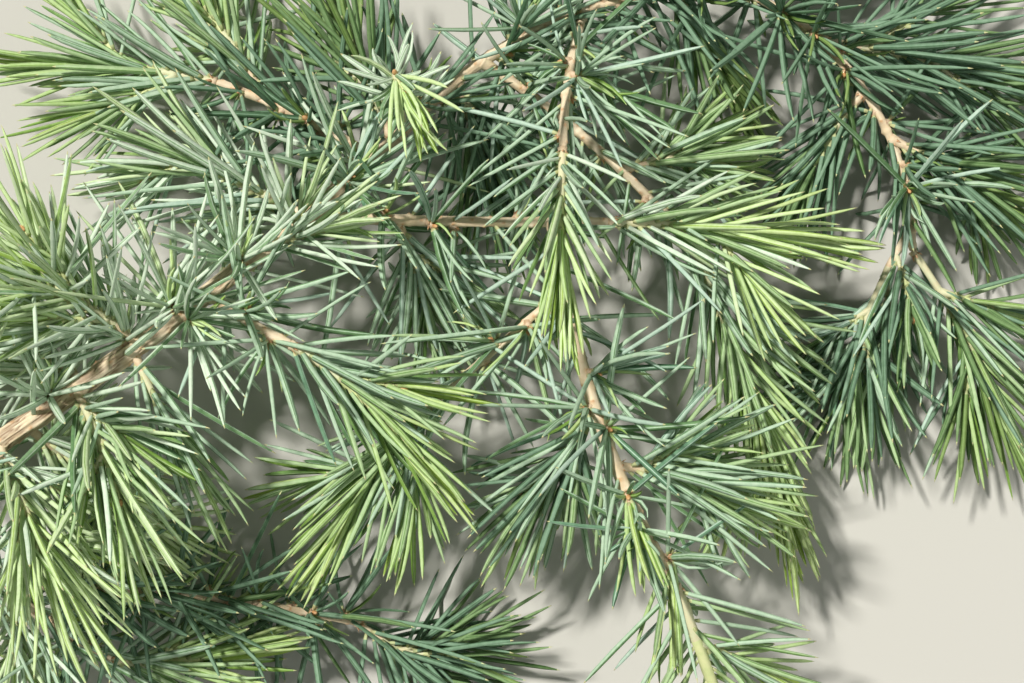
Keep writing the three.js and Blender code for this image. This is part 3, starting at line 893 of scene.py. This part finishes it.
def scale_rings(stem, at, random):
    count = SCALES["count"]
    turn = (np.arange(count) + random.random()) / count * 2 * np.pi
    way = stem.way_at(at)
    out = spokes(way, turn)
    opened = np.radians(random.uniform(*SCALES["open"], count))[:, None]
    grow = way * np.cos(opened) + out * np.sin(opened)
    side = np.cross(way, out)
    back = np.cross(side, grow)
    long = random.uniform(*SCALES["long"], count)[:, None, None]
    roots = stem.point_at(at) + out * stem.radius_at(at) * SCALES["root"]
    centres = roots[:, None] + grow[:, None] * long * SCALE_PLACES[None, :, None]
    section = SCALES["wide"] * SCALE_SECTION[:, 0, None] * side[:, None]
    section = section + SCALES["thick"] * SCALE_SECTION[:, 1, None] * back[:, None]
    return centres[:, :, None] + SCALE_GIRTH[None, :, None, None] * section[:, None]


random = np.random.default_rng(SCALES["seed"])
scales = [scale_rings(knob, SCALE_ON_KNOB, random) for knob in knobs]
for mass in sprays:
    stem, _ = mass["stems"][0]
    scales.append(scale_rings(stem, SCALE_ON_SHOOT / stem.length, random))
piece = tubes_piece("bud_scales", np.concatenate(scales), 0, [papery])
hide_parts(*SPURS)


# Buds: next year's growth, closed up in brown scales into an egg a couple of millimetres long. One
# sits in the middle of each rosette, and one at the tip of each shoot, sunk a little into it.
BUD = {"long": 2.2, "wide": 0.8, "sunk": 0.5, "sides": 10}
BUD_PLACES = np.array([0, 0.2, 0.45, 0.7, 0.88, 1])
BUD_GIRTH = np.array([0.75, 1, 0.95, 0.68, 0.36, 0.05])
bud_brown = plant_finish("bud_brown", 0xC08A58, 0xDDB384, size=1100, share=0.85, bump=0.4, gloss=0.35)


def bud_rings(stem):
    way = stem.way_at(1)
    centres = stem.point_at(1) + way * (BUD["long"] * BUD_PLACES - BUD["sunk"])[:, None]
    girth = BUD["wide"] * BUD_GIRTH
    return centres[:, None] + spokes(way, angles_round(BUD["sides"])) * girth[:, None, None]


budding = knobs + [stem for mass in sprays for stem, _ in mass["stems"]]
piece = tubes_piece("buds", np.stack([bud_rings(stem) for stem in budding]), 0, [bud_brown])
piece.data.shade_smooth()
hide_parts(*SPURS)


# Needles: stiff, straight or slightly curved, four-sided and sharp, each on its cushion. They
# spiral up a shoot and stand in a rosette on a spur. Pale bands of wax run along their upper faces,
# and their tips are horny. Old ones are blue-green and this year's yellow-green.
NEEDLE_PLACES = np.array([0, 0.05, 0.3, 0.62, 0.85, 0.965, 1])
NEEDLE_GIRTH = np.array([0.6, 0.92, 1, 0.97, 0.8, 0.36, 0.04])
NEEDLE_SECTION = np.array([(1, 0), (0.16, 0.72), (-0.16, 0.72), (-1, 0), (-0.14, -0.55), (0.14, -0.55)])
NEEDLE_WIDE = (1.12, 0.92)
# The section's sides: the upper ones have pale bands, and the lower ones or the lower edge too.
UPPER_SIDES = [0, 2]
LOWER_SIDES = [3, 5]
LOWER_EDGE = 4
# The share of needles whose lower sides are plain green, and a step that spreads them evenly.
PLAIN_BACKS = 0.3
EVEN_STEP = 0.618
# Single needles that stand on the limbs' own pegs.
SINGLE = {"bare": 0.04, "apart": 6.5, "needle": (38, 33), "splay": (64, 52), "age": (0, 1.5)}
LEAST_NEEDLES = 4
# The share of the stem's radius where needles have their roots.
ROOT_DEPTH = 0.7
# How far up the needles point that part along a shoot's top.
TOP = 0.45
# How far needles stray, in degrees or shares of their length and width, and how they curve.
STRAY = {"turn": 22, "splay": 9, "length": 0.12, "wide": 0.1, "roll": 34, "age": 0.35}
BEND = {"most": 0.15, "out": (-0.3, 1), "aside": (-0.7, 0.7), "rosette": 1.35, "short": 2}
SHORT_NEEDLE = 24
# Short needles are narrower too: the share of the width that any needle has, and its length's part.
SLIM = (0.5, 0.017)
# The shares of its length and of its splay that a needle tries until it has room, where along it
# the room is tested, and how far it keeps from wood and may pass its own space and the box's edge.
NEEDLE_TRIES = ((1, 1), (1, 0.55), (0.75, 0.8), (0.6, 0.5))
NEEDLE_TESTS = np.array([0.2, 0.45, 0.7, 0.85, 1])
WOOD_ROOM = 0.4
LEEWAY = 8
EDGE_ROOM = 5
# How high above the floor needles lie at the least.
LYING = 1.2
# A rosette has some short needles, and the last to open are short and fresh, in its middle.
SPUR_SHORT = {"share": 0.3, "length": (0.3, 0.8)}
INNER = {"from": 0.84, "length": 0.5, "age": 2.4}
NEEDLE_SEEDS = {"masses": 0, "small_spurs": 1000, "limbs": 3000}
box_low, box_high = (np.array(corner) / MM for corner in cad_box)

end_grain = {"size": 900, "share": 0.8, "bump": 0.2, "gloss": 0.4}
foot_finish = plant_finish("needle_foot", 0xBFCB98, 0xB4B080, **end_grain)
tip_finish = plant_finish("needle_tip", 0xC6CF9C, 0xC2B888, **end_grain)
# From the oldest to the youngest: a needle's green sides and its pale waxy bands.
AGES = (
    ("glaucous", 0x5E8468, 0x779F7E, 0xA9C4B2, 0xC1D6C5),
    ("blue_green", 0x5C8154, 0x75986A, 0xA4C0A4, 0xBAD0B6),
    ("green", 0x628747, 0x7A9C5A, 0x9FBC89, 0xB3CA9D),
    ("fresh_green", 0x729740, 0x8AAB56, 0xA6C27F, 0xBAD09A),
    ("yellow_green", 0x88A840, 0xA0BA58, 0xB3CA84, 0xC6D8A0),
)
# The same in threes with painted shade, as darker greens for growth that lies in shade, and with
# painted light, as paler greens for the sunny side.
PAINTED_SHADE_AND_LIGHT = {
    "painted_shade": (
        ("painted_shade_blue", 0x48684A, 0x58785A, 0x6F8F74, 0x82A086),
        ("painted_shade_green", 0x496A38, 0x5A7A46, 0x6F8E5C, 0x809C6C),
        ("painted_shade_fresh", 0x577632, 0x688640, 0x7A9654, 0x8AA466),
    ),
    "painted_light": (
        ("painted_light_blue", 0x789970, 0x94B58A, 0xC8DCC4, 0xDCE9D6),
        ("painted_light_green", 0x7F9F58, 0x99B771, 0xC1D6A6, 0xD4E4BC),
        ("painted_light_yellow", 0x92B250, 0xABC66C, 0xC2DA9A, 0xD2E6B6),
    ),
}
# The ages at which the second and third greens of the painted-shade and the painted-light sets start.
PAINTED_TONE_STEPS = (1.5, 2.5)
# The shoots, spurs and limbs whose needles all have the painted-shade greens, darker as if in shade.
PAINTED_SHADE_PARTS = (
    "spray_right_top",
    "spray_right_mid",
    "spray_right_edge",
    "spray_top_end",
    "spray_top_fan",
    "spray_top_shade",
    "spray_back_top",
    "spray_floor_mid",
    "spur_hanging_1",
    "spur_leader_2",
    "leader_limb",
    "hanging_limb",
    "back_bough",
    "floor_bough",
)
# The shoots, spurs and limbs whose needles all have the painted-light greens, paler as if in the sun.
PAINTED_LIGHT_PARTS = (
    "spray_left_high",
    "spray_left_low",
    "spray_under_left",
    "spray_fore_left",
    "spray_floor_left",
    "spray_low_side",
    "spray_crotch",
    "spray_upright",
    "spur_main_2",
    "spur_main_3",
    "spur_main_4",
    "main_limb",
)
# Those where every second needle has the painted-shade greens, and then those where every second needle
# has the painted-light greens.
HALF_PAINTED_SHADE = ("spray_front_left", "spray_hanging_left", "spray_hanging_tip")
HALF_PAINTED_LIGHT = ("spray_drop_tip", "spray_across_tip", "spray_upper_left", "spray_fore_mid")
# A needle's materials: its foot, its tip, and then the sides and the bands of each green in turn, with
# the painted-shade and the painted-light greens last.
FOOT = 0
TIP = 1
FIRST_GREEN = 2
needle_finishes = [foot_finish, tip_finish]
green_grain = {"size": 600, "share": 0.7}
for green, side, side_cloud, band, band_cloud in (*AGES, *PAINTED_SHADE_AND_LIGHT["painted_shade"], *PAINTED_SHADE_AND_LIGHT["painted_light"]):
    needle_finishes += [
        plant_finish(f"{green}_side", side, side_cloud, **green_grain, bump=0.2, gloss=0.4),
        plant_finish(f"{green}_band", band, band_cloud, **green_grain, bump=0.3, gloss=0.3),
    ]


def has_room(mass, roots, ways, lengths):
    """Whether whole needles keep clear of the wood and, nearly, to their own mass's space."""
    places = roots[:, None] + ways[:, None] * (lengths[:, None] * NEEDLE_TESTS)[..., None]
    flat = places.reshape(-1, 3)
    level = flat[:, :2]
    free = clear_of_wood(flat, WOOD_ROOM) & (flat[:, 2] < box_high[2])
    free &= (level > box_low[:2] - EDGE_ROOM).all(1) & (level < box_high[:2] + EDGE_ROOM).all(1)
    if mass is not None:
        free &= in_own_space(mass, flat, 0, LEEWAY)
    return free.reshape(len(roots), -1).all(1)


def fit_needles(mass, roots, stem_way, out, splay, lengths, wanted):
    """The directions of the wanted needles and which of them grow. Where one has no room, it turns
    towards the shoot or is shortened, and where that doesn't help, it is left out."""
    ways = np.zeros_like(out)
    grown = np.zeros_like(wanted)
    for length_share, splay_share in NEEDLE_TRIES:
        left = wanted & ~grown
        opened = np.radians(splay * splay_share)[:, None]
        tried = stem_way * np.cos(opened) + out * np.sin(opened)
        fits = left.copy()
        fits[left] = has_room(mass, roots[left], tried[left], lengths[left] * length_share)
        ways[fits] = tried[fits]
        lengths[fits] *= length_share
        grown |= fits
        if (grown == wanted).all():
            break
    return ways, grown


def needle_rings(roots, ways, out, lengths, bend, roll, wide):
    """The rings of needles that leave their roots along `ways` and curve by `bend`."""
    u = NEEDLE_PLACES[None, :, None]
    centres = roots[:, None] + lengths[:, None, None] * (ways[:, None] * u + bend[:, None] * u**2)
    centres[..., 2] = np.maximum(centres[..., 2], LYING)
    side = unit(np.cross(ways, out))
    back = np.cross(side, ways)
    side, back = side * np.cos(roll) + back * np.sin(roll), back * np.cos(roll) - side * np.sin(roll)
    section = NEEDLE_SECTION[:, 0, None] * side[:, None] + NEEDLE_SECTION[:, 1, None] * back[:, None]
    girth = wide[:, None] * NEEDLE_GIRTH
    return centres[:, :, None] + girth[..., None, None] * section[:, None]


def stray(random, count, most):
    return random.uniform(-1, 1, count) * most


def needles_on(mass, stem, kind, random, age, vigour=1):
    """The rings and ages of the needles on a stem."""
    is_rosette = "rosette" in kind
    count = max(LEAST_NEEDLES, round(stem.length * (1 - kind["bare"]) / kind["apart"] * vigour))
    share = (np.arange(count) + 0.5) / count
    t = between((kind["bare"], 1), share)
    turn = np.arange(count) * GOLDEN_ANGLE + np.radians(stray(random, count, STRAY["turn"]))
    splay = between(kind["splay"], share) + stray(random, count, STRAY["splay"])
    lengths = between(kind["needle"], share) * (1 + stray(random, count, STRAY["length"]))
    inner = (share > INNER["from"]) & is_rosette
    if is_rosette:
        short = random.random(count) < SPUR_SHORT["share"]
        lengths *= np.where(short, random.uniform(*SPUR_SHORT["length"], count), 1)
        lengths *= np.where(inner, INNER["length"], 1)
    stem_way = stem.way_at(t)
    out = spokes(stem_way, turn)
    roots = stem.point_at(t) + out * (stem.radius_at(t) * ROOT_DEPTH)[:, None]
    wanted = np.ones(count, bool)
    if "parted" in kind:
        wanted[(out[:, 2] > TOP) & (random.random(count) < kind["parted"])] = False
    if "beside" in kind:
        wanted &= np.abs(out @ stem.limb_way) < kind["beside"]
    ways, grown = fit_needles(mass, roots, stem_way, out, splay, lengths, wanted)
    count = grown.sum()
    roots, ways, out, stem_way, lengths = (v[grown] for v in (roots, ways, out, stem_way, lengths))
    bend = out * random.uniform(*BEND["out"], (count, 1))
    bend += np.cross(out, stem_way) * random.uniform(*BEND["aside"], (count, 1))
    bend *= -BEND["most"] * (1 + BEND["short"] * (lengths < SHORT_NEEDLE))[:, None]
    bend *= BEND["rosette"] if is_rosette else 1
    roll = np.radians(stray(random, count, STRAY["roll"]))[:, None]
    wide = between(NEEDLE_WIDE, share[grown]) * (1 + stray(random, count, STRAY["wide"]))
    wide *= kind.get("stout", 1) * np.clip(SLIM[0] + SLIM[1] * lengths, 0, 1)
    ages = between(age, t[grown]) + random.normal(0, STRAY["age"], count)
    ages = np.clip(np.round(ages + INNER["age"] * inner[grown]), 0, len(AGES) - 1)
    return needle_rings(roots, ways, out, lengths, bend, roll, wide), ages.astype(int)


def needle_kinds(greens):
    """The materials' numbers of needles, by needle, ring and side."""
    kinds = np.empty((len(greens), len(NEEDLE_PLACES) - 1, len(NEEDLE_SECTION)), int)
    kinds[:] = FIRST_GREEN + 2 * greens[:, None, None]
    banded = (np.arange(len(greens)) * EVEN_STEP) % 1 > PLAIN_BACKS
    kinds[:, :, UPPER_SIDES] += 1
    kinds[:, :, LOWER_SIDES] += banded[:, None, None]
    kinds[:, :, LOWER_EDGE] += ~banded[:, None]
    kinds[:, 0] = FOOT
    kinds[:, -1] = TIP
    return kinds


# The ages of needles from a shoot's foot to its tip, and those of sprays that are greener or bluer.
OLD_SPAN = (0, 2.4)
YOUNG_SPAN = (0.8, 4.5)
OWN_SPANS = {
    "spray_front_right": (0.2, 3),
    "spray_left_high": (-0.4, 4),
    "spray_left_low": (0.5, 3.4),
    "spray_fore_left": (0.7, 3.5),
    "spray_fore_mid": (0.2, 3.2),
    "spray_floor_left": (0.8, 3.8),
    "spray_low_side": (0.8, 3.8),
    "spray_under_fork": (0.2, 2.6),
    "spray_hanging_left": (-0.3, 2.2),
    "spray_right_edge": (0.5, 3.2),
    "spray_back_tip": (0.3, 3.6),
    "spray_back_high": (1, 3.8),
    "spray_back_top": (1, 3.4),
    "spray_far_side": (1, 3.6),
    "spray_fan_tip": (0.3, 3.9),
    "spray_inner_tip": (0.4, 4),
    "spray_drop_tip": (0.5, 4.1),
    "spray_hanging_tip": (0.4, 3.4),
}
# A limb's needles are one piece with those of all that it carries. A piece is named for its limb,
# and these limbs' needles belong to a larger one's.
OWN_AREAS = {"drop_bough": "leader", "fan_bough": "main", "floor_bough": "low"}
tufts = {}


def painted_greens(ages, name):
    """The greens of needles: their ages, or their places among the painted-shade and the painted-light
    finishes.
    """
    painted_shade = len(AGES) + np.digitize(ages, PAINTED_TONE_STEPS)
    painted_light = painted_shade + len(PAINTED_SHADE_AND_LIGHT["painted_shade"])
    plain = np.arange(len(ages)) % 2 == 0
    if name in PAINTED_SHADE_PARTS:
        return painted_shade
    if name in PAINTED_LIGHT_PARTS:
        return painted_light
    if name in HALF_PAINTED_SHADE:
        return np.where(plain, ages, painted_shade)
    if name in HALF_PAINTED_LIGHT:
        return np.where(plain, ages, painted_light)
    return ages


def add_tuft(on, name, rings, ages, node=None):
    """Adds the needles of a shoot, spur or limb to those of the limb `on` that carries it."""
    area = OWN_AREAS.get(on, on.split("_")[0])
    tuft = tufts.setdefault((area, is_young(name)), {"rings": [], "greens": [], "nodes": []})
    tuft["rings"].append(rings)
    # Needles of the listed growth take the painted-shade and the painted-light greens.
    tuft["greens"].append(painted_greens(ages, name))
    if node:
        tuft["nodes"].append(node)


for number, mass in enumerate(masses):
    random = np.random.default_rng(NEEDLE_SEEDS["masses"] + number)
    name = mass["name"]
    on = (SPRAYS.get(name) or SPURS.get(name))[0]
    span = OWN_SPANS.get(name, YOUNG_SPAN if is_young(name) else OLD_SPAN)
    for order, (stem, kind) in enumerate(mass["stems"]):
        rings, ages = needles_on(mass, stem, kind, random, kind.get("age", span))
        add_tuft(on, name, rings, ages, None if order else name)

for number, (name, knob, vigour, kind) in enumerate(small_spurs):
    random = np.random.default_rng(NEEDLE_SEEDS["small_spurs"] + number)
    rings, ages = needles_on(None, knob, kind, random, kind["age"], vigour)
    add_tuft(name, name, rings, ages)

for number, (name, limb) in enumerate(limbs.items()):
    random = np.random.default_rng(NEEDLE_SEEDS["limbs"] + number)
    rings, ages = needles_on(None, limb, SINGLE, random, SINGLE["age"])
    add_tuft(name, name, rings, ages)

for (area, young), tuft in tufts.items():
    rings = np.concatenate(tuft["rings"])
    kinds = needle_kinds(np.concatenate(tuft["greens"]))
    used, places = np.unique(kinds, return_inverse=True)
    finishes = [needle_finishes[kind] for kind in used]
    name = f"new_needles_{area}" if young else f"needles_{area}"
    piece = tubes_piece(name, rings, places.reshape(kinds.shape), finishes, FOOT, TIP)
    if tuft["nodes"]:
        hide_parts(*tuft["nodes"])


# Studio: a plain pale floor under the branch, a soft light from the upper left, a weaker and much
# wider one from the right, and an even surround. Both lights stand far off and light the floor evenly.
FLOOR_SIZE = 6000
floor_mesh = bpy.data.meshes.new("floor")
half = FLOOR_SIZE / 2 * MM
corners = [(-half, -half, 0), (half, -half, 0), (half, half, 0), (-half, half, 0)]
floor_mesh.from_pydata(corners, [], [(0, 1, 2, 3)])
floor_finish = bpy.data.materials.new("floor")
floor_finish.use_nodes = True
floor_shader = floor_finish.node_tree.nodes["Principled BSDF"]
floor_shader.inputs["Base Color"].default_value = tint(0xC2C1BB)
floor_shader.inputs["Roughness"].default_value = 0.9
floor_mesh.materials.append(floor_finish)
floor = bpy.data.objects.new("floor", floor_mesh)
bpy.context.scene.collection.objects.link(floor)
floor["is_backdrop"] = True

# Each light's direction, strength, apparent width in degrees and colour.
LIGHTS = {
    "key_light": ((-1000, 900, 2200), 4.2, 5, 0xFFFBF4),
    "fill_light": ((1400, -600, 1400), 0.6, 50, 0xF4F6F0),
}
for name, (place, strength, width, colour) in LIGHTS.items():
    light = bpy.data.objects.new(name, bpy.data.lights.new(name, "SUN"))
    light.data.angle = math.radians(width)
    light.data.energy = strength
    light.data.color = tint(colour)[:3]
    light.location = [value * MM for value in place]
    light.rotation_mode = "QUATERNION"
    light.rotation_quaternion = (-Vector(light.location)).to_track_quat("-Z", "Y")
    bpy.context.scene.collection.objects.link(light)

SURROUND = {"lighting": (0.2, 0xE6E8E2), "seen": (0.95, 0xE6E4DE)}
surround = bpy.data.worlds.new("surround")
surround.use_nodes = True
nodes = surround.node_tree.nodes
lighting = nodes["Background"]
seen = nodes.new("ShaderNodeBackground")
for background, (strength, colour) in ((lighting, SURROUND["lighting"]), (seen, SURROUND["seen"])):
    background.inputs["Color"].default_value = tint(colour)
    background.inputs["Strength"].default_value = strength
path = nodes.new("ShaderNodeLightPath")
either = nodes.new("ShaderNodeMixShader")
for source, target in (
    (path.outputs["Is Camera Ray"], either.inputs["Fac"]),
    (lighting.outputs["Background"], either.inputs[1]),
    (seen.outputs["Background"], either.inputs[2]),
    (either.outputs["Shader"], nodes["World Output"].inputs["Surface"]),
):
    surround.node_tree.links.new(source, target)
bpy.context.scene.world = surround
bpy.context.scene.view_settings.view_transform = "Standard"

boxes = {"cad": cad_box, "visual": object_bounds()}
{name: [list(corner) for corner in box] for name, box in boxes.items()}
